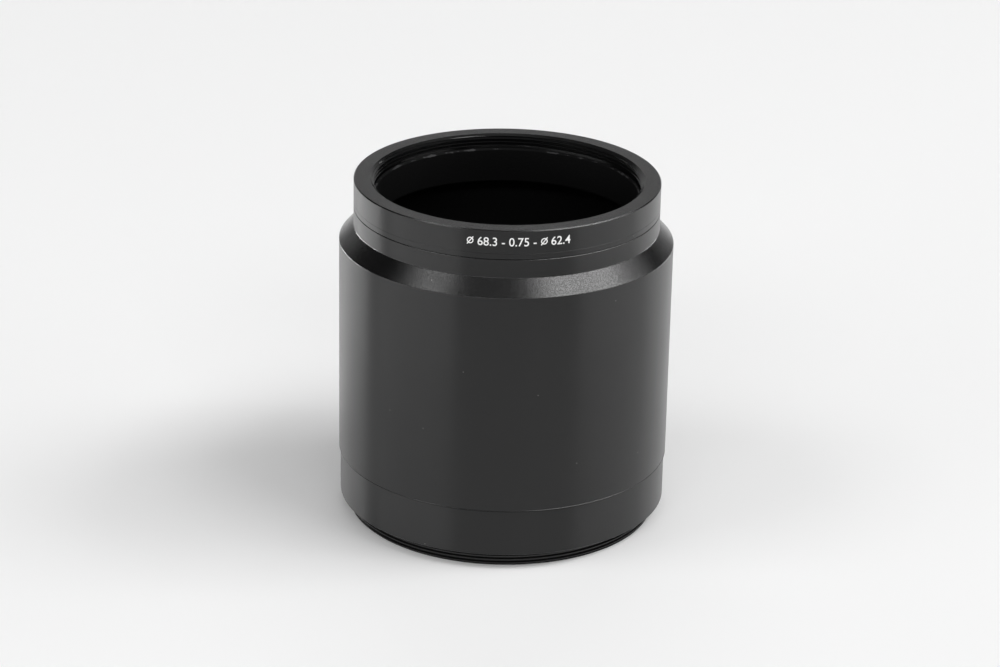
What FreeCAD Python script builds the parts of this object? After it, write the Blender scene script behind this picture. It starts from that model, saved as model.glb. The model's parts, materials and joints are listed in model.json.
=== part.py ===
import FreeCAD, Part
import math
import os

# Conversion lens adapter: a tube in three turned aluminium pieces that screw together.
# The rear ring screws into the camera, the barrel sets the distance, and the front ring
# takes the conversion lens. The origin is the centre of the rear thread's end face, and
# +Z runs along the optical axis towards the conversion lens. All sizes are in millimetres.
# Threads stand as plain cylinders: a male thread at its major diameter, a female thread
# at its minor diameter, each with its lead-in and its relief groove.
# Both ends are standard threads. Each wall is set from the thread or bore beside it, so
# the bores and outsides follow when a thread or a wall changes.

# Both end threads have this pitch. A 60 degree female thread's minor diameter is 1.0825
# pitches under its nominal size.
PITCH = 0.75
MINOR_PER_PITCH = 1.0825

# Camera end: male thread, relief groove, and the wall between the thread and the bore
REAR_THREAD_DIAMETER = 63.8
REAR_THREAD_LENGTH = 2.2
REAR_THREAD_LEAD = 0.35
REAR_THREAD_WALL = 1.6
REAR_RELIEF_WIDTH = 1.05
REAR_RELIEF_DEPTH = 0.7

# The relief is cut a little into the shoulder too, just past the thread's radius, so
# that the camera's ring seats flat on what is left of it
SHOULDER_UNDERCUT_DEPTH = 0.2
SHOULDER_UNDERCUT_REACH = 0.1

# Rear ring: its band stands a step inside the barrel's wall, and its spigot goes up
# into a seat that is cut a step deeper than the barrel's bore
REAR_RING_HEIGHT = 9.7
REAR_RING_STEP = 0.3
REAR_SPIGOT_WALL = 2.2
REAR_SPIGOT_LENGTH = 5.0
REAR_SEAT_STEP = 0.4

# Barrel: straight wall, shoulder and neck. The neck is as wide as the front ring.
BARREL_LENGTH = 45.9
BARREL_WALL = 2.05
SHOULDER_HEIGHT = 3.2
NECK_LENGTH = 3.8

# Front ring: wall outside the female thread, step in to the bore, and spigot
FRONT_THREAD_DIAMETER = 55.0
FRONT_RING_HEIGHT = 6.0
FRONT_RING_WALL = 3.7
FRONT_BORE_STEP = 0.8
FRONT_SPIGOT_WALL = 2.3
FRONT_SPIGOT_LENGTH = 4.35

# Lens end: female thread, the wide lead-in at its mouth, and the relief groove below it
FRONT_THREAD_LENGTH = 2.0
FRONT_LEAD_DEPTH = 0.45
FRONT_LEAD_WIDTH = 0.8
FRONT_RELIEF_WIDTH = 0.5
FRONT_RELIEF_DEPTH = 0.25

# The two screwed joints inside: running gap, room past the spigot's end, and relief
JOINT_CLEARANCE = 0.08
JOINT_END_ROOM = 0.4
JOINT_LEAD = 0.4
JOINT_RELIEF_WIDTH = 0.8
JOINT_RELIEF_DEPTH = 0.6

# Edges broken by the turning tool
RIM_CHAMFER = 0.2
SEAM_CHAMFER = 0.12
BORE_CHAMFER = 0.3

# Radii, from the camera end's thread outwards
REAR_THREAD_RADIUS = REAR_THREAD_DIAMETER / 2
REAR_BORE_RADIUS = REAR_THREAD_RADIUS - REAR_THREAD_WALL
REAR_JOINT_RADIUS = REAR_BORE_RADIUS + REAR_SPIGOT_WALL
BARREL_BORE_RADIUS = REAR_JOINT_RADIUS - REAR_SEAT_STEP
BARREL_RADIUS = BARREL_BORE_RADIUS + BARREL_WALL
REAR_RING_RADIUS = BARREL_RADIUS - REAR_RING_STEP

# Radii, from the lens end's thread both ways
FRONT_THREAD_RADIUS = FRONT_THREAD_DIAMETER / 2
FRONT_MINOR_RADIUS = FRONT_THREAD_RADIUS - MINOR_PER_PITCH * PITCH / 2
FRONT_BORE_RADIUS = FRONT_THREAD_RADIUS - FRONT_BORE_STEP
FRONT_JOINT_RADIUS = FRONT_BORE_RADIUS + FRONT_SPIGOT_WALL
FRONT_RING_RADIUS = FRONT_THREAD_RADIUS + FRONT_RING_WALL

# Heights of the seats, from the end face of the rear thread
REAR_SHOULDER_Z = REAR_THREAD_LENGTH + REAR_RELIEF_WIDTH
REAR_SEAM_Z = REAR_SHOULDER_Z + REAR_RING_HEIGHT
SHOULDER_Z = REAR_SEAM_Z + BARREL_LENGTH
NECK_Z = SHOULDER_Z + SHOULDER_HEIGHT
FRONT_SEAM_Z = NECK_Z + NECK_LENGTH
FRONT_Z = FRONT_SEAM_Z + FRONT_RING_HEIGHT


def turned(outline):
    """Solid of revolution about Z of a closed outline of (radius, height) corners."""
    corners = [FreeCAD.Vector(radius, 0, height) for radius, height in outline]
    wire = Part.makePolygon(corners + corners[:1])
    return Part.Face(wire).revolve(FreeCAD.Vector(0, 0, 0), FreeCAD.Vector(0, 0, 1), 360)


def band_outline(radius, low_z, high_z, high_chamfer):
    """Outside of a ring from its lower edge to its upper edge, both broken."""
    return [
        (radius - SEAM_CHAMFER, low_z),
        (radius, low_z + SEAM_CHAMFER),
        (radius, high_z - high_chamfer),
        (radius - high_chamfer, high_z),
    ]


def spigot_outline(radius, bore, seam_z, length, way):
    """Threaded spigot from its relief groove at the seam to the bore's edge.

    way is +1 for a spigot that points up from its seam, and -1 for one that points down.
    """
    floor = radius - JOINT_RELIEF_DEPTH
    end_z = seam_z + way * length
    return [
        (floor, seam_z),
        (floor, seam_z + way * JOINT_RELIEF_WIDTH),
        (radius, seam_z + way * JOINT_RELIEF_WIDTH),
        (radius, end_z - way * JOINT_LEAD),
        (radius - JOINT_LEAD, end_z),
        (bore + BORE_CHAMFER, end_z),
        (bore, end_z - way * BORE_CHAMFER),
    ]


def rear_thread_outline(radius, bore):
    """Camera end from the bore's edge round the male thread to its relief groove."""
    floor = radius - REAR_RELIEF_DEPTH
    return [
        (bore, BORE_CHAMFER),
        (bore + BORE_CHAMFER, 0),
        (radius - REAR_THREAD_LEAD, 0),
        (radius, REAR_THREAD_LEAD),
        (radius, REAR_THREAD_LENGTH),
        (floor, REAR_THREAD_LENGTH),
        (floor, REAR_SHOULDER_Z + SHOULDER_UNDERCUT_DEPTH),
        (radius + SHOULDER_UNDERCUT_REACH, REAR_SHOULDER_Z + SHOULDER_UNDERCUT_DEPTH),
        (radius + SHOULDER_UNDERCUT_REACH, REAR_SHOULDER_Z),
    ]


def rear_ring():
    """Camera-side ring: male thread below, plain band, spigot up into the barrel."""
    thread = rear_thread_outline(REAR_THREAD_RADIUS, REAR_BORE_RADIUS)
    band = band_outline(REAR_RING_RADIUS, REAR_SHOULDER_Z, REAR_SEAM_Z, SEAM_CHAMFER)
    spigot = spigot_outline(REAR_JOINT_RADIUS, REAR_BORE_RADIUS, REAR_SEAM_Z,
                            REAR_SPIGOT_LENGTH, 1)
    return turned(thread + band + spigot)


def barrel():
    """Tube with a shoulder and a neck, and a seat inside each end for a ring's spigot.

    The bend inside the shoulder sits lower than the one outside by the wall times the
    tangent of half the slope, which keeps the wall as thick as the rest.
    """
    slope = math.atan2(BARREL_RADIUS - FRONT_RING_RADIUS, SHOULDER_HEIGHT)
    bend_drop = BARREL_WALL * math.tan(slope / 2)
    neck_seat = FRONT_JOINT_RADIUS + JOINT_CLEARANCE
    rear_seat = REAR_JOINT_RADIUS + JOINT_CLEARANCE
    rear_seat_z = REAR_SEAM_Z + REAR_SPIGOT_LENGTH + JOINT_END_ROOM
    return turned([
        (BARREL_RADIUS - SEAM_CHAMFER, REAR_SEAM_Z),
        (BARREL_RADIUS, REAR_SEAM_Z + SEAM_CHAMFER),
        (BARREL_RADIUS, SHOULDER_Z),
        (FRONT_RING_RADIUS, NECK_Z),
        (FRONT_RING_RADIUS, FRONT_SEAM_Z - SEAM_CHAMFER),
        (FRONT_RING_RADIUS - SEAM_CHAMFER, FRONT_SEAM_Z),
        (neck_seat + JOINT_LEAD, FRONT_SEAM_Z),
        (neck_seat, FRONT_SEAM_Z - JOINT_LEAD),
        (neck_seat, NECK_Z - bend_drop),
        (BARREL_BORE_RADIUS, SHOULDER_Z - bend_drop),
        (BARREL_BORE_RADIUS, rear_seat_z),
        (rear_seat, rear_seat_z),
        (rear_seat, REAR_SEAM_Z + JOINT_LEAD),
        (rear_seat + JOINT_LEAD, REAR_SEAM_Z),
    ])


def front_thread_outline(minor, bore):
    """Lens end from the rim's inner edge down the female thread to the bore."""
    groove = FRONT_THREAD_RADIUS + FRONT_RELIEF_DEPTH
    thread_top_z = FRONT_Z - FRONT_LEAD_DEPTH
    thread_end_z = thread_top_z - FRONT_THREAD_LENGTH
    ledge_z = thread_end_z - FRONT_RELIEF_WIDTH
    return [
        (minor + FRONT_LEAD_WIDTH, FRONT_Z),
        (minor, thread_top_z),
        (minor, thread_end_z),
        (groove, thread_end_z),
        (groove, ledge_z),
        (minor, ledge_z),
        (bore, ledge_z - (minor - bore)),
    ]


def front_ring():
    """Lens-side ring: female thread above, spigot down into the neck."""
    band = band_outline(FRONT_RING_RADIUS, FRONT_SEAM_Z, FRONT_Z, RIM_CHAMFER)
    thread = front_thread_outline(FRONT_MINOR_RADIUS, FRONT_BORE_RADIUS)
    spigot = spigot_outline(FRONT_JOINT_RADIUS, FRONT_BORE_RADIUS, FRONT_SEAM_Z,
                            FRONT_SPIGOT_LENGTH, -1)
    return turned(band + thread + spigot[::-1])


PIECES = {"rear_ring": rear_ring, "barrel": barrel, "front_ring": front_ring}


def main():
    os.makedirs("parts", exist_ok=True)
    for name, make in PIECES.items():
        shape = make()
        box = shape.BoundBox
        print(f"{name}: valid {shape.isValid()}, {shape.Volume / 1000:.2f} cm3, "
              f"{box.XLength:.2f} across, {box.ZMin:.2f} to {box.ZMax:.2f} high")
        shape.exportStep(f"parts/{name}.step")


main()
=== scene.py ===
# %% [markdown]
# A turned lens adapter in satin black
# The object is an empty aluminium tube that holds a conversion lens in front of a camera. A lathe
# makes its three pieces: a rear ring that screws into the camera, the barrel, and a front ring
# that takes the lens. They are then bead blasted and anodised black.
# The measured CAD model comes first, as a fixed frame. Nothing in it is moved. Everything below
# is built around it, in metres, with +Z along the optical axis.

# %% Load the frame
import json
import math
from collections import namedtuple

import bmesh
import bpy
import numpy as np
from mathutils import Euler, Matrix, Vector


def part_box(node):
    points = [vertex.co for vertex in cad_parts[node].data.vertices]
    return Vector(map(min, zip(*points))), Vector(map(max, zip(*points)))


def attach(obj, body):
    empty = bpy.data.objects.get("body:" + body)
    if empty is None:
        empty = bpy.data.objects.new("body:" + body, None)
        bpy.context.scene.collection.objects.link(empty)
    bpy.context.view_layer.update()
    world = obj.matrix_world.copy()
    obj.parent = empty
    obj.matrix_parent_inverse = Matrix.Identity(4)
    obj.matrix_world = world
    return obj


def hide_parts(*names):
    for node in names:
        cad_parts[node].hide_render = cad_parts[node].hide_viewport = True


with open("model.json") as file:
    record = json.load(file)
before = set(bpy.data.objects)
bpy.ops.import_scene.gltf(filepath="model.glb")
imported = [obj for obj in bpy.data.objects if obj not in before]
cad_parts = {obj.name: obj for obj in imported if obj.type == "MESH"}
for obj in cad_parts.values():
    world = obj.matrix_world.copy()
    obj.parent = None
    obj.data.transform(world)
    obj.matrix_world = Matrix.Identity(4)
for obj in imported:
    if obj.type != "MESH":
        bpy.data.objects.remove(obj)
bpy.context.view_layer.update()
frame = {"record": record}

# %% [markdown]
# Sizes
# A turner works in millimetres, so this file does too, and multiplies by `MM` when it hands
# something to Blender. Outer radii and heights are read from the frame's own boxes and mounts.
# Only what the boxes can't tell, such as a groove's width, is written here by name.

# %% Read the main sizes from the frame
MM = 0.001


def outer_size(node):
    """Outer radius, lowest and highest height of a turned CAD piece, in mm."""
    low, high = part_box(node)
    return high.x / MM, low.z / MM, high.z / MM


mounts = {mount["name"]: mount for mount in frame["record"]["mounts"]}
front_minor = mounts["front_thread"]["dims"]["r_mm"]
rear_major = mounts["rear_thread"]["dims"]["r_mm"]
rear_shoulder = mounts["rear_shoulder"]["pos_m"][2] / MM

rear_radius, foot, rear_spigot_end = outer_size("rear_ring")
barrel_radius, rear_seam, front_seam = outer_size("barrel")
front_radius, front_spigot_end, rim = outer_size("front_ring")
print(f"seams at {rear_seam:.2f} and {front_seam:.2f} mm, rim at {rim:.2f} mm")

# %% [markdown]
# The walls, bores and grooves come next. They repeat the values of the CAD model, so that what
# is seen inside the tube is what the solids hold. A broken edge is the small 45 degree flat that
# a turner files on every corner. Here it catches the light as a thin line beside each seam, and
# the wider it is, the stronger the line, so each edge has its own width.

# %% Name the walls, bores and grooves, in mm
SEAM_EDGE = 0.12
NECK_EDGE = 0.16
RING_EDGE = 0.07
RIM_EDGE = 0.2
BORE_EDGE = 0.3

REAR_THREAD_WALL = 1.6
REAR_SPIGOT_WALL = 2.2
REAR_SEAT_STEP = 0.4
FRONT_BORE_STEP = 0.394
FRONT_SPIGOT_WALL = 2.3
NECK_LENGTH = 3.8
SHOULDER_HEIGHT = 3.2

rear_bore = rear_major - REAR_THREAD_WALL
rear_joint = rear_bore + REAR_SPIGOT_WALL
barrel_bore = rear_joint - REAR_SEAT_STEP
front_bore = front_minor - FRONT_BORE_STEP
front_joint = front_bore + FRONT_SPIGOT_WALL

neck_foot = front_seam - NECK_LENGTH
shoulder_foot = neck_foot - SHOULDER_HEIGHT
print(f"bores {rear_bore:.2f}, {barrel_bore:.2f} and {front_bore:.2f} mm in radius")

# %% [markdown]
# A lathe in code
# A turned piece is one outline spun about the axis. Blender can spin it with a Screw modifier,
# but a screw thread breaks the symmetry, so this lathe makes its rings of points itself. A ring
# is one closed loop of points, and a band of quads joins each ring to the next. Cutting the ring
# into 256 columns keeps the silhouette's facets under 3 thousandths of a millimetre.

# %% Rings and bands
COLUMNS = 256
TURNS = np.arange(COLUMNS) / COLUMNS


def add_ring(points, radii, height):
    """Adds a closed ring of points, and returns their numbers."""
    first = len(points)
    angles = 2 * math.pi * TURNS
    xs = np.broadcast_to(radii, COLUMNS) * np.cos(angles)
    ys = np.broadcast_to(radii, COLUMNS) * np.sin(angles)
    points.extend((x * MM, y * MM, height * MM) for x, y in zip(xs, ys))
    return list(range(first, first + COLUMNS))


def add_band(faces, ring, next_ring):
    """Joins two rings by one quad per column."""
    for column in range(COLUMNS):
        after = (column + 1) % COLUMNS
        faces.append((ring[column], ring[after], next_ring[after], next_ring[column]))


facet_depth = barrel_radius * (1 - math.cos(math.pi / COLUMNS))
print(f"{COLUMNS} columns, facets {facet_depth:.4f} mm deep at the barrel")

# %% [markdown]
# Real corners are never quite sharp. A corner that carries a third number gets a round of that
# radius: a short arc of four steps. The arc is tangent to both sides, and one more point lies
# just past each end of it, so that smooth shading doesn't spread across the flat beside it.

# %% Rounds on an outline's corners
ROUND_STEPS = 4
ROUND_MARGIN = 0.06


def round_corner(before, corner, after, radius):
    """Points of the arc that replaces a corner of the outline."""
    corner = np.array(corner)
    back = np.array(before) - corner
    ahead = np.array(after) - corner
    back /= np.linalg.norm(back)
    ahead /= np.linalg.norm(ahead)
    half_angle = math.acos(np.dot(back, ahead)) / 2
    tangent = radius / math.tan(half_angle)
    middle = back + ahead
    centre = corner + middle / np.linalg.norm(middle) * radius / math.sin(half_angle)
    start = corner + back * tangent - centre
    end = corner + ahead * tangent - centre
    sweep = math.pi - 2 * half_angle
    arc = []
    for share in np.linspace(0, 1, ROUND_STEPS + 1):
        part = start * math.sin((1 - share) * sweep) + end * math.sin(share * sweep)
        arc.append(centre + part / math.sin(sweep))
    arc.insert(0, corner + back * (tangent + ROUND_MARGIN))
    arc.append(corner + ahead * (tangent + ROUND_MARGIN))
    return [tuple(point) for point in arc]


sample = round_corner((0.0, 0.0), (1.0, 0.0), (1.0, 1.0), 0.2)
print(f"a round of 0.2 mm at a right angle starts {1 - sample[1][0]:.2f} mm before the corner")

# %% [markdown]
# Screw threads
# A thread is a groove that climbs one pitch each turn. A stack of separate rings would only look
# like one, and its crests would never reach the edge of the metal. Here the rows of the mesh
# climb with the helix instead. Twelve rows make one pitch, and after a full turn each row meets
# the row twelve further up. Where the helix would leave the metal, the row stops at the edge.
# The thread is right-handed, as nearly every screw is. Its form is a cosine wave that swings a
# little too far and is clipped, which gives crests and roots their small flats.

# %% Cut a thread into a plain surface
PITCH = 0.75
ROWS_PER_PITCH = 12
MALE_DEPTH = 0.46
FEMALE_DEPTH = 0.405
THREAD_MIDDLE = 0.5
THREAD_SWING = 0.55
RUN_OUT = 0.4
EDGE_MARGIN = 0.002

# surface: corners of the plain surface; depth: mm into the metal, above 0 away from the axis;
# fades_at: the height where the tool leaves the cut, or None; start: where it starts, in turns
Thread = namedtuple("Thread", "surface depth fades_at start", defaults=[None, 0.0])


def threaded_radius(thread, heights, turns):
    """Radius of the threaded surface by height in mm and by turns about the axis."""
    corners = sorted(thread.surface, key=lambda corner: corner[1])
    plain = np.interp(heights, [z for _, z in corners], [r for r, _ in corners])
    climb = heights / PITCH - turns - thread.start
    share = np.clip(THREAD_MIDDLE - THREAD_SWING * np.cos(2 * np.pi * climb), 0, 1)
    if thread.fades_at is not None:
        share = share * np.clip(np.abs(heights - thread.fades_at) / RUN_OUT, 0, 1)
    if thread.depth < 0:
        crest = max(r for r, _ in corners)
        return np.minimum(plain, crest + thread.depth * share)
    crest = min(r for r, _ in corners)
    return np.maximum(plain, crest + thread.depth * share)


def add_thread(points, faces, thread):
    """Adds the threaded surface, and returns its lowest and its highest ring."""
    heights = [z for _, z in thread.surface]
    low, high = min(heights), max(heights)
    low_ring = add_ring(points, threaded_radius(thread, low, TURNS), low)
    high_ring = add_ring(points, threaded_radius(thread, high, TURNS), high)
    first_row = math.floor(low / PITCH - 1) * ROWS_PER_PITCH
    last_row = math.ceil(high / PITCH + 1) * ROWS_PER_PITCH
    rows = []
    for row in range(first_row, last_row + 1):
        row_heights = PITCH * (row / ROWS_PER_PITCH + TURNS)
        radii = threaded_radius(thread, row_heights, TURNS)
        numbers = []
        for column in range(COLUMNS):
            if row_heights[column] <= low + EDGE_MARGIN:
                numbers.append(low_ring[column])
            elif row_heights[column] >= high - EDGE_MARGIN:
                numbers.append(high_ring[column])
            else:
                angle = 2 * math.pi * TURNS[column]
                x = radii[column] * math.cos(angle)
                y = radii[column] * math.sin(angle)
                numbers.append(len(points))
                points.append((x * MM, y * MM, row_heights[column] * MM))
        rows.append(numbers)
    add_helix_faces(faces, rows)
    return low_ring, high_ring


def add_helix_faces(faces, rows):
    """Joins rows that climb one pitch per turn, and skips what has shrunk to nothing."""
    for row in range(len(rows) - 1):
        for column in range(COLUMNS):
            after, climb = (column + 1, 0) if column + 1 < COLUMNS else (0, ROWS_PER_PITCH)
            far = min(row + climb, len(rows) - 1)
            far_next = min(row + climb + 1, len(rows) - 1)
            near_side = (rows[row][column], rows[row + 1][column])
            far_side = (rows[far][after], rows[far_next][after])
            corners = dict.fromkeys((near_side[0], *far_side, near_side[1]))
            if len(corners) > 2:
                faces.append(tuple(corners))


print(f"thread: {PITCH} mm pitch, {ROWS_PER_PITCH} rows per pitch")

# %% [markdown]
# Turning a piece
# An outline is a closed list of corners (radius, height) in mm, with a `Thread` wherever a thread
# is cut. One function turns it into a mesh. Faces are shaded smooth, except across corners of
# more than 25 degrees, so a broken edge stays a crisp small flat, and so does the mouth's cone.

# %% Turn an outline into a mesh
SHARP_ANGLE = math.radians(25)


def add_object(name, data):
    """A new object in the scene, for a mesh, a curve, a camera or a lamp."""
    thing = bpy.data.objects.new(name, data)
    bpy.context.scene.collection.objects.link(thing)
    return thing


def turn(name, outline):
    """A closed mesh object: the outline turned once about Z."""
    points = []
    faces = []
    rings = []
    for place, part in enumerate(outline):
        if isinstance(part, Thread):
            low_ring, high_ring = add_thread(points, faces, part)
            upwards = part.surface[0][1] < part.surface[-1][1]
            rings.append((low_ring, high_ring) if upwards else (high_ring, low_ring))
        elif len(part) == 3:
            before = outline[place - 1][:2]
            after = outline[place + 1][:2]
            arc = round_corner(before, part[:2], after, part[2])
            rings.extend([(ring, ring) for ring in [add_ring(points, r, z) for r, z in arc]])
        else:
            ring = add_ring(points, *part)
            rings.append((ring, ring))
    for (_, leaving), (entering, _) in zip(rings, rings[1:] + rings[:1]):
        add_band(faces, leaving, entering)
    return finish_mesh(name, points, faces)


def finish_mesh(name, points, faces):
    """Object from points and faces, normals outwards, smooth between its sharp corners."""
    mesh = bpy.data.meshes.new(name)
    mesh.from_pydata(points, [], faces)
    work = bmesh.new()
    work.from_mesh(mesh)
    bmesh.ops.recalc_face_normals(work, faces=work.faces)
    work.to_mesh(mesh)
    volume = work.calc_volume() / MM ** 3 / 1000
    loose = sum(not edge.is_manifold for edge in work.edges)
    work.free()
    mesh.shade_smooth()
    mesh.set_sharp_from_angle(angle=SHARP_ANGLE)
    print(f"{name}: {len(mesh.polygons)} faces, {volume:.2f} cm3, {loose} open edges")
    return add_object(name, mesh)


print(f"corners of more than {math.degrees(SHARP_ANGLE):.0f} degrees stay sharp")

# %% [markdown]
# Rear ring
# This ring screws into the camera. From the bottom up its outside has the male thread, a relief
# groove where the threading tool runs out, the shoulder that seats on the camera, and a plain
# band to grip. Above the band, a threaded spigot goes up inside the barrel. It shows only when
# the pieces are unscrewed, but it is cut like the rest.

# %% Turn the rear ring
REAR_LEAD = 0.35
JOINT_LEAD = 0.4
JOINT_RELIEF_WIDTH = 0.8
JOINT_RELIEF_DEPTH = 0.6
REAR_RELIEF_WIDTH = 1.05
REAR_RELIEF_DEPTH = 0.7
UNDERCUT_DEPTH = 0.2
UNDERCUT_REACH = 0.1
rear_thread_end = rear_shoulder - REAR_RELIEF_WIDTH
undercut = rear_shoulder + UNDERCUT_DEPTH
rear_spigot_root = rear_joint - JOINT_RELIEF_DEPTH
rear_spigot_foot = rear_seam + JOINT_RELIEF_WIDTH

camera_side_ring = turn("camera_side_ring", [
    (rear_bore, foot + BORE_EDGE),
    (rear_bore + BORE_EDGE, foot),
    Thread([(rear_major - REAR_LEAD, foot), (rear_major, foot + REAR_LEAD),
            (rear_major, rear_thread_end)], -MALE_DEPTH),
    (rear_major - REAR_RELIEF_DEPTH, rear_thread_end),
    (rear_major - REAR_RELIEF_DEPTH, undercut),
    (rear_major + UNDERCUT_REACH, undercut),
    (rear_major + UNDERCUT_REACH, rear_shoulder),
    (rear_radius - SEAM_EDGE, rear_shoulder),
    (rear_radius, rear_shoulder + SEAM_EDGE),
    (rear_radius, rear_seam - SEAM_EDGE),
    (rear_radius - SEAM_EDGE, rear_seam),
    (rear_spigot_root, rear_seam),
    (rear_spigot_root, rear_spigot_foot),
    Thread([(rear_joint, rear_spigot_foot), (rear_joint, rear_spigot_end - JOINT_LEAD),
            (rear_joint - JOINT_LEAD, rear_spigot_end)], -MALE_DEPTH),
    (rear_bore + BORE_EDGE, rear_spigot_end),
    (rear_bore, rear_spigot_end - BORE_EDGE),
])
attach(camera_side_ring, "rear_ring")
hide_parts("rear_ring")

# %% [markdown]
# Barrel
# The barrel sets the distance between camera and lens. It has a straight wall, a shoulder near 45
# degrees and a neck as wide as the front ring. The corner above the wall carries a small round,
# which draws a thin light line, and the corner under the neck a small fillet from the tool's tip.
# A chip of metal has scored a shallow line just above the lower edge, and it catches the light
# beside the seam. Inside, both ends are seats with a female thread, and a cone follows the
# shoulder.

# %% Turn the barrel
JOINT_CLEARANCE = 0.08
JOINT_END_ROOM = 0.4
WALL_ROUND = 0.15
SCORE_DEPTH = 0.05
SCORE_HEIGHT = 0.18
SCORE_WIDTH = 0.25
NECK_FILLET = 0.25
slope = math.atan2(barrel_radius - front_radius, neck_foot - shoulder_foot)
bend_drop = (barrel_radius - barrel_bore) * math.tan(slope / 2)
neck_seat = front_joint + JOINT_CLEARANCE
neck_seat_end = neck_foot - bend_drop
rear_seat = rear_joint + JOINT_CLEARANCE
rear_seat_end = rear_spigot_end + JOINT_END_ROOM

barrel = turn("barrel_tube", [
    (barrel_radius - SEAM_EDGE, rear_seam),
    (barrel_radius, rear_seam + SEAM_EDGE),
    (barrel_radius, rear_seam + SCORE_HEIGHT),
    (barrel_radius - SCORE_DEPTH, rear_seam + SCORE_HEIGHT + SCORE_DEPTH),
    (barrel_radius, rear_seam + SCORE_HEIGHT + SCORE_WIDTH),
    (barrel_radius, shoulder_foot, WALL_ROUND),
    (front_radius, neck_foot, NECK_FILLET),
    (front_radius, front_seam - NECK_EDGE),
    (front_radius - NECK_EDGE, front_seam),
    Thread([(neck_seat + JOINT_LEAD, front_seam), (neck_seat, front_seam - JOINT_LEAD),
            (neck_seat, neck_seat_end)], FEMALE_DEPTH, neck_seat_end),
    (barrel_bore, shoulder_foot - bend_drop),
    (barrel_bore, rear_seat_end),
    Thread([(rear_seat, rear_seat_end), (rear_seat, rear_seam + JOINT_LEAD),
            (rear_seat + JOINT_LEAD, rear_seam)], FEMALE_DEPTH, rear_seat_end),
])
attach(barrel, "barrel")
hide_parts("barrel")

# %% [markdown]
# Front ring
# The conversion lens screws into this ring. Its mouth is a wide lead-in cone with a small round
# at its edge, and it opens into the female thread. The photo shows this cone a fifth of a
# millimetre deeper than the CAD model has it. Below come the relief groove and a ledge down to
# the bore. Outside there is a broken edge round the rim, and low on the band a hairline that the
# turning tool left. One more corner on the cone, just above the thread, keeps its shading even.

# %% Turn the front ring
MOUTH_DEPTH = 0.65
MOUTH_WIDTH = 0.85
MOUTH_ROUND = 0.1
CONE_MARGIN = 0.02
CONE_CORNER_OUT = 0.06
CONE_CORNER_UP = 0.046
HAIRLINE = 0.02
HAIRLINE_DROP = 4.85
FRONT_THREAD_DROP = 2.45
FRONT_THREAD_START = 0.25
FRONT_RELIEF_WIDTH = 0.5
FRONT_RELIEF_DEPTH = 0.656
thread_top = rim - MOUTH_DEPTH
thread_end = rim - FRONT_THREAD_DROP
ledge = thread_end - FRONT_RELIEF_WIDTH
groove = front_minor + FRONT_RELIEF_DEPTH
cone_at_thread = FEMALE_DEPTH + CONE_MARGIN
cone_height = thread_top + MOUTH_DEPTH * cone_at_thread / MOUTH_WIDTH
hairline_height = rim - HAIRLINE_DROP
front_spigot_foot = front_seam - JOINT_RELIEF_WIDTH
front_spigot_root = front_joint - JOINT_RELIEF_DEPTH

lens_side_ring = turn("lens_side_ring", [
    (front_radius - RING_EDGE, front_seam),
    (front_radius, front_seam + RING_EDGE),
    (front_radius, hairline_height - HAIRLINE),
    (front_radius - HAIRLINE, hairline_height),
    (front_radius, hairline_height + HAIRLINE),
    (front_radius, rim - RIM_EDGE),
    (front_radius - RIM_EDGE, rim),
    (front_minor + MOUTH_WIDTH, rim, MOUTH_ROUND),
    (front_minor + cone_at_thread + CONE_CORNER_OUT, cone_height + CONE_CORNER_UP),
    Thread([(front_minor + cone_at_thread, cone_height), (front_minor, thread_top),
            (front_minor, thread_end)], FEMALE_DEPTH, None, FRONT_THREAD_START),
    (groove, thread_end),
    (groove, ledge),
    (front_minor, ledge),
    (front_bore, ledge - (front_minor - front_bore)),
    (front_bore, front_spigot_end + BORE_EDGE),
    (front_bore + BORE_EDGE, front_spigot_end),
    Thread([(front_joint - JOINT_LEAD, front_spigot_end),
            (front_joint, front_spigot_end + JOINT_LEAD),
            (front_joint, front_spigot_foot)], -MALE_DEPTH),
    (front_spigot_root, front_spigot_foot),
    (front_spigot_root, front_seam),
])
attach(lens_side_ring, "front_ring")
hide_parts("front_ring")

# %% [markdown]
# Size marking
# Such a ring carries a small white printed line. This one holds plain numbers: the outside
# diameters of its two ends, with the thread's pitch between them. The digits start as a text
# object, because Blender's own font has clean outlines. The diameter sign is drawn as a ring and
# a stroke, with a thinner line than the font's. Both become a flat mesh that is wrapped round
# the ring. A print has almost no thickness, so it stands two hundredths of a millimetre proud.

# %% Letter sizes in mm
DIGIT_HEIGHT = 1.72
DIGIT_HEIGHT_PER_SIZE = 0.70
DIGIT_STRETCH = 0.97
CURVE_STEPS = 6
INK_WEIGHT = 0.005
INK_THICKNESS = 0.02
SIGN_RADIUS = 0.56
SIGN_LINE = 0.2
SIGN_STROKE = 2.0
SIGN_LEAN = math.radians(52)
SIGN_REACH = 0.62
SIGN_STEPS = 40

# heights below the rim, then places along the ring
MARK_DROP = 3.2
MARK_START = -7.7
FIRST_WORD = 2.0
SECOND_SIGN = 14.55
SECOND_WORD = 16.5
mark_height = rim - MARK_DROP
print(f"digits {DIGIT_HEIGHT} mm high, {MARK_DROP} mm below the rim")


# %% Draw the marking flat
def flat_text(text, start):
    """Mesh data of a word that starts at a place along the line, lying in the XY plane, in mm."""
    curve = bpy.data.curves.new("word", "FONT")
    curve.body = text
    curve.size = DIGIT_HEIGHT / DIGIT_HEIGHT_PER_SIZE
    curve.offset = INK_WEIGHT * curve.size
    curve.extrude = INK_THICKNESS
    curve.resolution_u = CURVE_STEPS
    word = add_object("word", curve)
    bpy.context.view_layer.update()
    finished = word.evaluated_get(bpy.context.evaluated_depsgraph_get())
    mesh = bpy.data.meshes.new_from_object(finished)
    bpy.data.objects.remove(word)
    points = [(start + v.co.x * DIGIT_STRETCH, v.co.y, v.co.z) for v in mesh.vertices]
    return points, [tuple(face.vertices) for face in mesh.polygons]


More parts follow.
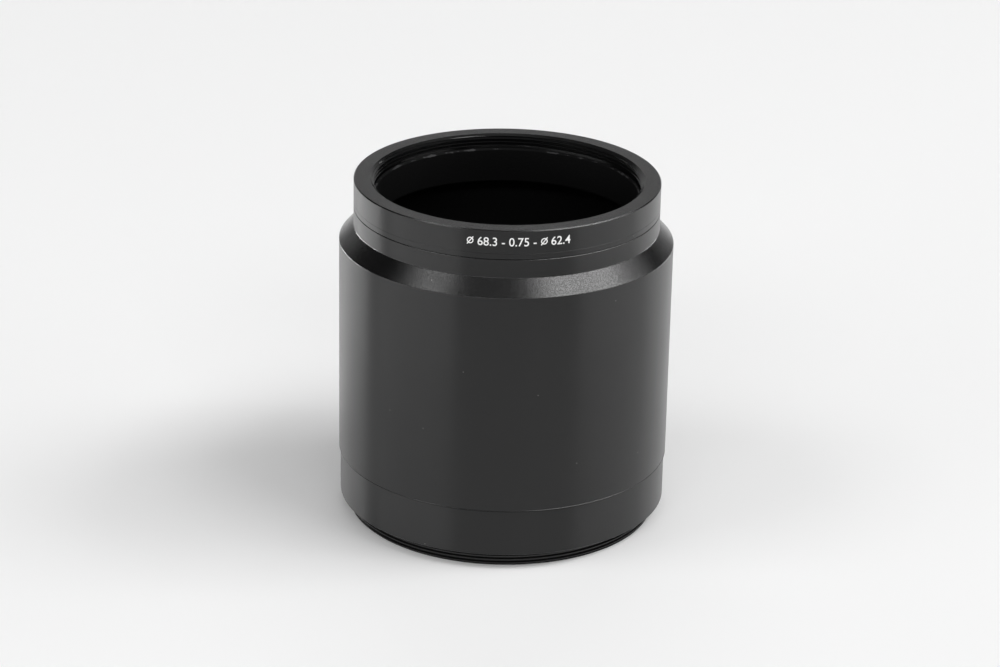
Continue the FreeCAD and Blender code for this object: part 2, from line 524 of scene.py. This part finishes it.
def flat_sign(start):
    """Mesh data of a diameter sign: a ring, and a slanting stroke that runs past it."""
    middle = (start + SIGN_STROKE / 2 * SIGN_REACH, DIGIT_HEIGHT / 2)
    points = []
    faces = []
    for step in range(SIGN_STEPS):
        angle = 2 * math.pi * step / SIGN_STEPS
        for radius in (SIGN_RADIUS - SIGN_LINE / 2, SIGN_RADIUS + SIGN_LINE / 2):
            along = middle[0] + radius * math.cos(angle)
            up = middle[1] + radius * math.sin(angle)
            for height in (-INK_THICKNESS, INK_THICKNESS):
                points.append((along, up, height))
    for step in range(SIGN_STEPS):
        here = 4 * step
        after = 4 * ((step + 1) % SIGN_STEPS)
        for low, high in ((0, 1), (1, 3), (3, 2), (2, 0)):
            faces.append((here + low, after + low, after + high, here + high))
    first = len(points)
    along = Vector((math.cos(SIGN_LEAN), math.sin(SIGN_LEAN), 0))
    across = Vector((-along.y, along.x, 0))
    for end in (-SIGN_STROKE / 2, SIGN_STROKE / 2):
        for side in (-SIGN_LINE / 2, SIGN_LINE / 2):
            for height in (-INK_THICKNESS, INK_THICKNESS):
                points.append(tuple(Vector((*middle, height)) + along * end + across * side))
    sides = ((0, 1, 3, 2), (4, 6, 7, 5), (0, 4, 5, 1), (2, 3, 7, 6), (0, 2, 6, 4), (1, 5, 7, 3))
    faces.extend(tuple(first + corner for corner in corners) for corners in sides)
    return points, faces


print("points of a diameter sign:", len(flat_sign(0)[0]))


# %% Wrap the marking round the ring
def print_marking(name, parts):
    """Mesh of signs and words, wrapped round the front ring."""
    points = []
    faces = []
    for part_points, part_faces in parts:
        first = len(points)
        for along, up, out in part_points:
            angle = along / front_radius
            radius = (front_radius + out) * MM
            height = (mark_height + up) * MM
            points.append((radius * math.sin(angle), -radius * math.cos(angle), height))
        faces.extend(tuple(first + corner for corner in face) for face in part_faces)
    mesh = bpy.data.meshes.new(name)
    mesh.from_pydata(points, [], faces)
    return add_object(name, mesh)


size_marking = print_marking("size_marking", [
    flat_sign(MARK_START),
    flat_text(f"{2 * barrel_radius:.1f} - {PITCH} -", MARK_START + FIRST_WORD),
    flat_sign(MARK_START + SECOND_SIGN),
    flat_text(f"{2 * front_radius:.1f}", MARK_START + SECOND_WORD),
])
last_angle = max(math.atan2(v.co.x, -v.co.y) for v in size_marking.data.vertices)
print(f"marking from {MARK_START} to {last_angle * front_radius:.1f} mm along the ring")
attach(size_marking, "front_ring")

# %% [markdown]
# Finishes
# Black anodising is a thin glassy layer with dye in it, over metal that was blasted with fine
# beads. So the finish is a dark, slightly rough plastic-like surface, and not a metallic one.
# The effects that the pieces share are node groups, each with a few inputs in real sizes. The
# first helper adds one node and fills or links its inputs, and the second starts a group.

# %% Helpers for nodes and groups
def add_node(tree, kind, inputs=None, **settings):
    """Adds a shader node. Each input takes a number, a colour or another node's output."""
    node = tree.nodes.new("ShaderNode" + kind)
    for setting, value in settings.items():
        setattr(node, setting, value)
    for key, value in (inputs or {}).items():
        if isinstance(value, bpy.types.NodeSocket):
            tree.links.new(value, node.inputs[key])
        else:
            node.inputs[key].default_value = value
    return node


def new_group(name, inputs, outputs):
    """An empty node group with float inputs and outputs, given as {name: default value}."""
    group = bpy.data.node_groups.new(name, "ShaderNodeTree")
    for label, value in inputs.items():
        socket = group.interface.new_socket(label, in_out="INPUT", socket_type="NodeSocketFloat")
        socket.default_value = value
    for label in outputs:
        group.interface.new_socket(label, in_out="OUTPUT", socket_type="NodeSocketFloat")
    entry = group.nodes.new("NodeGroupInput")
    leave = group.nodes.new("NodeGroupOutput")
    return group, entry, leave


print("helpers for nodes and groups:", add_node.__name__, new_group.__name__)


# %% Helpers for sums, colours and materials
def math_node(tree, operation, *operands):
    """Output of a math node."""
    return add_node(tree, "Math", dict(enumerate(operands)), operation=operation).outputs[0]


def mix_colours(tree, factor, first, second):
    """Output of a colour mix. Its sockets go by number, because a Mix node repeats their names."""
    node = tree.nodes.new("ShaderNodeMix")
    node.data_type = "RGBA"
    for number, value in ((0, factor), (6, first), (7, second)):
        if isinstance(value, bpy.types.NodeSocket):
            tree.links.new(value, node.inputs[number])
        else:
            node.inputs[number].default_value = value
    return node.outputs[2]


def new_material(name):
    """A material, its node tree and its shader."""
    material = bpy.data.materials.new(name)
    material.use_nodes = True
    return material, material.node_tree, material.node_tree.nodes["Principled BSDF"]


def add_bump(tree, shader, height, depth):
    """Bumps a shader by a height, with the depth of its dents in mm."""
    bump = add_node(tree, "Bump", {"Height": height, "Distance": depth * MM})
    tree.links.new(bump.outputs["Normal"], shader.inputs["Normal"])


print("helpers for materials:", new_material.__name__, add_bump.__name__)

# %% [markdown]
# Blasted grain
# Bead blasting leaves dents a fifth of a millimetre across, about as wide as one pixel of the
# picture. A bump alone hardly shows at that size, because many dents share a pixel. What does
# show is that the deep ones trap light and mirror less of the lamp. So the group gives both: a
# height for the bump, and a mask of the deep dents that paints shade into them. One noise gives
# the dents, and a second, wider one makes them uneven.

# %% Group: blasted grain
DENT_CONTRAST = 4.0
DENT_MIDDLE = 0.5
PATCHES_PER_MM = 0.35
FULL_HEIGHT = 1.15


def blasted_grain():
    """Height of the blasted surface and a mask of its deep dents for painted shade, with the
    dents' size in mm.
    """
    group, entry, leave = new_group(
        "blasted_grain", {"Dent Size": 0.2, "Unevenness": 0.3}, ["Height", "Deep Dents"])
    place = add_node(group, "TexCoord").outputs["Object"]
    scale = math_node(group, "DIVIDE", 1 / MM, entry.outputs["Dent Size"])
    dents = add_node(
        group, "TexNoise", {"Vector": place, "Scale": scale, "Detail": 1.0, "Roughness": 0.5})
    patches = add_node(
        group, "TexNoise", {"Vector": place, "Scale": PATCHES_PER_MM / MM, "Detail": 2.0})
    lost = math_node(group, "MULTIPLY", patches.outputs["Fac"], entry.outputs["Unevenness"])
    kept = math_node(group, "SUBTRACT", FULL_HEIGHT, lost)
    height = math_node(group, "MULTIPLY", dents.outputs["Fac"], kept)
    group.links.new(height, leave.inputs["Height"])
    below = math_node(group, "SUBTRACT", DENT_MIDDLE, dents.outputs["Fac"])
    deep = add_node(group, "Math", {0: below, 1: DENT_CONTRAST, 2: DENT_MIDDLE},
                    operation="MULTIPLY_ADD", use_clamp=True)
    group.links.new(deep.outputs[0], leave.inputs["Deep Dents"])
    return group


grain_group = blasted_grain()
print("group:", grain_group.name)

# %% [markdown]
# Handling and dust
# No anodised part is equally glossy all over. Fingers leave faint patches, and a little dust
# settles on it. The patches are a slow noise. For the dust, the surface is unrolled flat, as
# length round the tube and height, and a few cells of a Voronoi pattern get one speck each.

# %% Group: handling patches and dust specks
CELLS_PER_MM = 0.12


def handling():
    """A mask of soft patches, and a mask of rare small specks, with their sizes in mm."""
    sizes = {"Patch Size": 12.0, "Speck Size": 0.14, "Speck Share": 0.1}
    group, entry, leave = new_group("handling", sizes, ["Patches", "Specks"])
    place = add_node(group, "TexCoord").outputs["Object"]
    scale = math_node(group, "DIVIDE", 1 / MM, entry.outputs["Patch Size"])
    patches = add_node(
        group, "TexNoise", {"Vector": place, "Scale": scale, "Detail": 3.0, "Roughness": 0.55})
    group.links.new(patches.outputs["Fac"], leave.inputs["Patches"])

    axes = add_node(group, "SeparateXYZ", {"Vector": place})
    angle = math_node(group, "ARCTAN2", axes.outputs["X"], axes.outputs["Y"])
    round_tube = math_node(group, "MULTIPLY", angle, barrel_radius)
    up_tube = math_node(group, "MULTIPLY", axes.outputs["Z"], 1 / MM)
    unrolled = add_node(group, "CombineXYZ", {"X": round_tube, "Y": up_tube})
    cells = add_node(
        group, "TexVoronoi", {"Vector": unrolled.outputs["Vector"], "Scale": CELLS_PER_MM},
        voronoi_dimensions="2D")
    reach = math_node(group, "MULTIPLY", entry.outputs["Speck Size"], CELLS_PER_MM / 2)
    near = math_node(group, "LESS_THAN", cells.outputs["Distance"], reach)
    chance = add_node(group, "SeparateColor", {"Color": cells.outputs["Color"]}).outputs["Red"]
    chosen = math_node(group, "LESS_THAN", chance, entry.outputs["Speck Share"])
    group.links.new(math_node(group, "MULTIPLY", near, chosen), leave.inputs["Specks"])
    return group


handling_group = handling()
print("group:", handling_group.name)

# %% [markdown]
# Wear on the matt coat, with a painted highlight
# Stray light would spoil a picture, so the inside is sprayed with dead matt black, from the
# ledge below the front thread downwards. Lenses screwed in and out have chipped it along the
# corner under the ledge, and the chips are painted lighter than the bare metal, as a painted
# highlight along that corner. The group gives 1 where a noise is high enough, and asks for more
# of it the farther a place is from the band's middle.

# %% Group: chipped band
CHIPS_PER_MM = 0.25
CHIP_FALL = 0.2


def chipped_band():
    """A mask of chips in a band round the tube, with its height and half width in mm."""
    group, entry, leave = new_group(
        "chipped_band", {"Band Height": 0.0, "Half Width": 0.35, "Chips": 0.5}, ["Bare"])
    place = add_node(group, "TexCoord").outputs["Object"]
    axes = add_node(group, "SeparateXYZ", {"Vector": place})
    height = math_node(group, "MULTIPLY", axes.outputs["Z"], 1 / MM)
    above = math_node(group, "SUBTRACT", height, entry.outputs["Band Height"])
    away = math_node(group, "ABSOLUTE", above)
    share = math_node(group, "DIVIDE", away, entry.outputs["Half Width"])
    chips = add_node(
        group, "TexNoise",
        {"Vector": place, "Scale": CHIPS_PER_MM / MM, "Detail": 5.0, "Roughness": 0.7})
    wanted = math_node(group, "MULTIPLY_ADD", share, CHIP_FALL, entry.outputs["Chips"])
    chips_and_glint = math_node(group, "GREATER_THAN", chips.outputs["Fac"], wanted)
    group.links.new(chips_and_glint, leave.inputs["Bare"])
    return group


band_group = chipped_band()
print("group:", band_group.name)

# %% [markdown]
# Three satin blacks
# The straight walls come from the lathe with fine lines round them, too small to see. Lines
# like these spread a reflection across themselves, so the walls smear the room up and down: this
# is an anisotropic gloss. The sloped and level faces are blasted evenly and show a grain, and the
# threads are cut last and stay smooth. One function makes all three. The index of refraction and
# the anisotropy are the same all over a finish, so they stand on the shader itself. A metallic
# shader with a black colour mirrors almost nothing, so the mask of deep dents goes there, as
# painted shade in the dents.

# %% Material: satin black anodising, blasted, turned or cut
SATIN_BLACK = (0.0015, 0.0015, 0.0016, 1)
SATIN_WORN = (0.004, 0.004, 0.0041, 1)
DUST_GREY = (0.32, 0.31, 0.3, 1)
PATCH_ROUGHNESS = 0.06
ACROSS_THE_LINES = 0.25


def satin_black(name, index, roughness, anisotropy, dent_depth, dent_shade=0.0):
    """Black anodising with dents of a depth in mm, of which the deep ones get a share of painted
    shade.
    """
    material, tree, shader = new_material(name)
    shader.inputs["IOR"].default_value = index
    shader.inputs["Anisotropic"].default_value = anisotropy
    shader.inputs["Anisotropic Rotation"].default_value = ACROSS_THE_LINES
    grain = add_node(tree, "Group", node_tree=grain_group)
    marks = add_node(tree, "Group", node_tree=handling_group)
    blacks = mix_colours(tree, marks.outputs["Patches"], SATIN_BLACK, SATIN_WORN)
    dusty = mix_colours(tree, marks.outputs["Specks"], blacks, DUST_GREY)
    tree.links.new(dusty, shader.inputs["Base Color"])
    patch = math_node(tree, "SUBTRACT", marks.outputs["Patches"], 0.5)
    rough = math_node(tree, "MULTIPLY_ADD", patch, PATCH_ROUGHNESS, roughness)
    tree.links.new(rough, shader.inputs["Roughness"])
    # Painted shade: the deep dents mirror less of the lamp.
    if dent_shade:
        dim = math_node(tree, "MULTIPLY", grain.outputs["Deep Dents"], dent_shade)
        tree.links.new(dim, shader.inputs["Metallic"])
    add_bump(tree, shader, grain.outputs["Height"], dent_depth)
    return material


blasted = satin_black(
    "blasted_black", index=1.625, roughness=0.2, anisotropy=0.0, dent_depth=0.03, dent_shade=0.48)
turned = satin_black("turned_black", index=1.454, roughness=0.3, anisotropy=0.92, dent_depth=0.006)
cut = satin_black("cut_black", index=1.55, roughness=0.22, anisotropy=0.0, dent_depth=0.004)
print("satin blacks:", blasted.name, turned.name, cut.name)

# %% [markdown]
# Matt coat
# The spray dries to a rough film that reflects very little, even at a slant. So its specular
# level is far below that of the metal's glassy layer, and its roughness is high.

# %% Material: matt coat
COAT_BLACK = (0.0022, 0.0022, 0.0023, 1)
CHIP_GLINT_GREY = (0.03, 0.03, 0.031, 1)
COAT_ROUGHNESS = 0.7
COAT_SPECULAR = 0.1
BARE_ROUGHNESS = 0.35
SPRAY_SIZE = 0.5
SPRAY_DEPTH = 0.03
CHIPPED_DROP = 0.25


def matt_coat(name):
    """Matt black spray, chipped in places along the corner below the front thread, with a painted
    highlight on the chips.
    """
    material, tree, shader = new_material(name)
    shader.inputs["Specular IOR Level"].default_value = COAT_SPECULAR
    grain = add_node(tree, "Group", node_tree=grain_group)
    grain.inputs["Dent Size"].default_value = SPRAY_SIZE
    band = add_node(tree, "Group", node_tree=band_group)
    band.inputs["Band Height"].default_value = ledge - CHIPPED_DROP
    chips_and_glint = band.outputs["Bare"]
    # The chips' grey is lighter than the bare metal: a painted highlight on real chips along the
    # ledge.
    tree.links.new(mix_colours(tree, chips_and_glint, COAT_BLACK, CHIP_GLINT_GREY), shader.inputs["Base Color"])
    rough = math_node(tree, "MULTIPLY_ADD", chips_and_glint, BARE_ROUGHNESS - COAT_ROUGHNESS, COAT_ROUGHNESS)
    tree.links.new(rough, shader.inputs["Roughness"])
    add_bump(tree, shader, grain.outputs["Height"], SPRAY_DEPTH)
    return material


coat = matt_coat("matt_coat")
print("coat:", coat.name)

# %% [markdown]
# Which face gets which finish
# Each mesh has one slot per finish, and each face picks one by where it is and how it leans.
# Threads are cut last, so they are smooth. What looks at the axis gets the coat, upright walls
# are turned, and the rest is blasted. A thread's zone is given as its heights and its radii.

# %% Give each face its finish
WALL_LEAN = 0.3
INWARD_LEAN = 0.1
THREAD_ROOM = 0.01
FINISHES = (blasted, turned, coat, cut)
BLASTED, TURNED, COATED, CUT = range(len(FINISHES))


def choose_finish(face, threads):
    """Number of a face's finish, with each thread as (low, high, inner, outer) in mm."""
    middle = face.center / MM
    radius = middle.xy.length
    outwards = face.normal.xy.dot(middle.xy) / radius
    for low, high, inner, outer in threads:
        if low < middle.z < high and inner < radius < outer:
            return CUT
    if outwards < -INWARD_LEAN:
        return COATED
    if outwards > 0 and abs(face.normal.z) < WALL_LEAN:
        return TURNED
    return BLASTED


def finish_piece(piece, threads):
    """Puts the finishes on a piece."""
    for material in FINISHES:
        piece.data.materials.append(material)
    counts = [0] * len(FINISHES)
    for face in piece.data.polygons:
        face.material_index = choose_finish(face, threads)
        counts[face.material_index] += 1
    print(f"{piece.name}: faces blasted, turned, coated and cut: {counts}")


def male_zone(low, high, radius):
    """Where a male thread of a radius is, in mm."""
    return low, high, radius - MALE_DEPTH - THREAD_ROOM, radius + THREAD_ROOM


def female_zone(low, high, radius, lead):
    """Where a female thread of a minor radius is, with the wider lead-in at its mouth, in mm."""
    return low, high, radius - THREAD_ROOM, radius + lead + THREAD_ROOM


finish_piece(camera_side_ring, [
    male_zone(foot, rear_thread_end, rear_major),
    male_zone(rear_spigot_foot, rear_spigot_end, rear_joint),
])
finish_piece(barrel, [
    female_zone(rear_seam, rear_seat_end, rear_seat, FEMALE_DEPTH),
    female_zone(neck_seat_end, front_seam, neck_seat, FEMALE_DEPTH),
])
finish_piece(lens_side_ring, [
    female_zone(ledge + THREAD_ROOM, rim, front_minor, MOUTH_WIDTH),
    male_zone(front_spigot_end, front_spigot_foot, front_joint),
])

# %% [markdown]
# White ink
# The marking is pad printed: a thin matt white film that isn't quite opaque everywhere. Its
# colour varies a little, with the same kind of patches as the metal but far smaller ones.

# %% Material: white ink
INK_WHITE = (0.82, 0.82, 0.81, 1)
INK_THIN = (0.7, 0.7, 0.7, 1)
INK_PATCH_SIZE = 0.6
INK_ROUGHNESS = 0.45
INK_UNEVENNESS = 0.2
INK_DENT_DEPTH = 0.02


def white_ink(name):
    """Matt white print, slightly uneven."""
    material, tree, shader = new_material(name)
    grain = add_node(tree, "Group", node_tree=grain_group)
    marks = add_node(tree, "Group", node_tree=handling_group)
    marks.inputs["Patch Size"].default_value = INK_PATCH_SIZE
    patches = marks.outputs["Patches"]
    tree.links.new(mix_colours(tree, patches, INK_THIN, INK_WHITE), shader.inputs["Base Color"])
    rough = math_node(tree, "MULTIPLY_ADD", patches, INK_UNEVENNESS, INK_ROUGHNESS)
    tree.links.new(rough, shader.inputs["Roughness"])
    add_bump(tree, shader, grain.outputs["Height"], INK_DENT_DEPTH)
    return material


size_marking.data.materials.append(white_ink("white_ink"))
print("white ink on the marking")

# %% [markdown]
# Camera
# The camera was fitted to the photo: its place, its direction and its lens make the model's round
# edges fall on the photo's edges to a third of a pixel. The picture is 1000 pixels wide, and the
# sensor 36 mm.

# %% Set the camera
CAMERA_PLACE = (0.0, -0.6053, 0.2850)
CAMERA_TURN = (67.764, -1.057, 0.518)
FOCAL_PIXELS = 3160.8
PICTURE_WIDTH = 1000
SENSOR_WIDTH = 36.0
CLIP_END = 20.0

camera_data = bpy.data.cameras.new("camera")
camera_data.sensor_fit = "HORIZONTAL"
camera_data.sensor_width = SENSOR_WIDTH
camera_data.lens = FOCAL_PIXELS / PICTURE_WIDTH * SENSOR_WIDTH
camera_data.clip_end = CLIP_END
camera = add_object("camera", camera_data)
camera.location = CAMERA_PLACE
camera.rotation_euler = Euler([math.radians(angle) for angle in CAMERA_TURN])
bpy.context.scene.camera = camera
print(f"lens {camera_data.lens:.1f} mm, {Vector(CAMERA_PLACE).length:.2f} m from the tube's foot")

# %% [markdown]
# Floor and backdrop
# The tube stands on a sheet of white paper that curves up behind it. It is one strip: flat, then
# a quarter round, then upright. A satin black tube is mostly a mirror of its room, so the paper
# matters: the walls show the floor in front of them, and the rim shows the paper behind.

# %% Sweep of paper
PAPER_HALF_WIDTH = 4.5
PAPER_FRONT = -3.0
BEND_START = 3.6
BEND_RADIUS = 0.6
PAPER_TOP = 2.2
BEND_STEPS = 24


def paper_sweep(name):
    """A strip of paper along Y that bends up into a backdrop."""
    line = [(PAPER_FRONT, 0.0), (BEND_START, 0.0)]
    for step in range(1, BEND_STEPS + 1):
        angle = math.pi / 2 * step / BEND_STEPS
        back = BEND_START + BEND_RADIUS * math.sin(angle)
        line.append((back, BEND_RADIUS * (1 - math.cos(angle))))
    line.append((BEND_START + BEND_RADIUS, PAPER_TOP))
    points = [(side * PAPER_HALF_WIDTH, y, z) for y, z in line for side in (-1, 1)]
    faces = [(2 * n, 2 * n + 1, 2 * n + 3, 2 * n + 2) for n in range(len(line) - 1)]
    mesh = bpy.data.meshes.new(name)
    mesh.from_pydata(points, [], faces)
    mesh.shade_smooth()
    return add_object(name, mesh)


paper = paper_sweep("paper")
print("paper bends up", BEND_START, "m behind the tube")

# %% [markdown]
# Paper
# Paper is a plain matt white.

# %% Material: paper
PAPER_WHITE = (0.92, 0.92, 0.92, 1)
PAPER_ROUGHNESS = 0.9
PAPER_SPECULAR = 0.2

paper_material, _, paper_shader = new_material("paper")
paper_shader.inputs["Base Color"].default_value = PAPER_WHITE
paper_shader.inputs["Roughness"].default_value = PAPER_ROUGHNESS
paper_shader.inputs["Specular IOR Level"].default_value = PAPER_SPECULAR
paper.data.materials.append(paper_material)
print("paper white:", PAPER_WHITE[0])

# %% [markdown]
# Lights
# A gloss black thing shows its lamps rather than being lit by them, so each lamp stands where
# the face that it is meant for mirrors it to the camera. Two softboxes high on the right draw
# the broad light on the shoulder, a dim one past them lets it fade, and a weaker one on the
# left draws the small light there. Between them the shoulder mirrors only a faint ceiling. The
# wide box in front and a low card on each side give the walls their even grey, and the low
# strips behind draw their bright edges. The panel at the back lights the paper there. The lamps
# themselves are hidden from the camera. The high ones stand far off, so that they light the
# paper evenly. The brightness of each is how white the lamp would look, and 1 is the white of
# the picture.

# %% Softboxes
LIGHT_AIM = (0.0, 0.0, 0.04)
NEAR = 1.6
FAR = 3.2
FRONT = 3.9


def softbox(name, azimuth, elevation, width, height, brightness, distance=NEAR):
    """A flat lamp aimed at the tube. Azimuth is 0 at the camera and grows to the right."""
    data = bpy.data.lights.new(name, "AREA")
    data.shape = "RECTANGLE"
    data.size = width
    data.size_y = height
    data.energy = brightness * math.pi * width * height
    light = add_object(name, data)
    around, up = math.radians(azimuth), math.radians(elevation)
    level = math.cos(up)
    away = Vector((level * math.sin(around), -level * math.cos(around), math.sin(up)))
    light.location = Vector(LIGHT_AIM) + away * distance
    light.rotation_euler = away.to_track_quat("Z", "Y").to_euler()
    light.visible_camera = False
    print(f"{name}: {data.energy:.1f} W")


# azimuth and elevation in degrees, width and height in metres, brightness, distance
softbox("right_front_box", 58, 58, 1.3, 1.0, 6.95, FAR)
softbox("right_side_box", 90, 45, 1.24, 1.1, 6.55, FAR)
softbox("right_tail_box", 114, 33, 0.9, 0.8, 1.75, FAR)
softbox("left_box", -72, 54, 1.3, 1.0, 3.2, FAR)
softbox("ceiling_box", 0, 71, 2.0, 2.0, 0.42, FAR)
softbox("front_box", 0, 34, 3.9, 0.975, 4.2, FRONT)
softbox("right_card", 76, 6, 1.5, 0.6, 3.95)
softbox("left_card", -62, 6, 1.8, 0.6, 5.0)
softbox("right_strip", 124, 1, 1.1, 0.13, 14.5)
softbox("left_strip", -122, 1, 1.1, 0.13, 38.0)
softbox("back_panel", 180, 45, 1.1, 0.7, 1.25)

# %% [markdown]
# Room
# A little even light from all sides stands for the white walls of the room.

# %% World
ROOM_WHITE = (1, 1, 1, 1)
ROOM_LIGHT = 0.03

world = bpy.data.worlds.new("room")
bpy.context.scene.world = world
world.use_nodes = True
background = world.node_tree.nodes["Background"]
background.inputs["Color"].default_value = ROOM_WHITE
background.inputs["Strength"].default_value = ROOM_LIGHT
print("room light:", ROOM_LIGHT)

# %% [markdown]
# View
# The picture uses the Standard view, which shows a colour as it is written.

# %% Set the view
bpy.context.scene.view_settings.view_transform = "Standard"
bpy.context.view_layer.update()
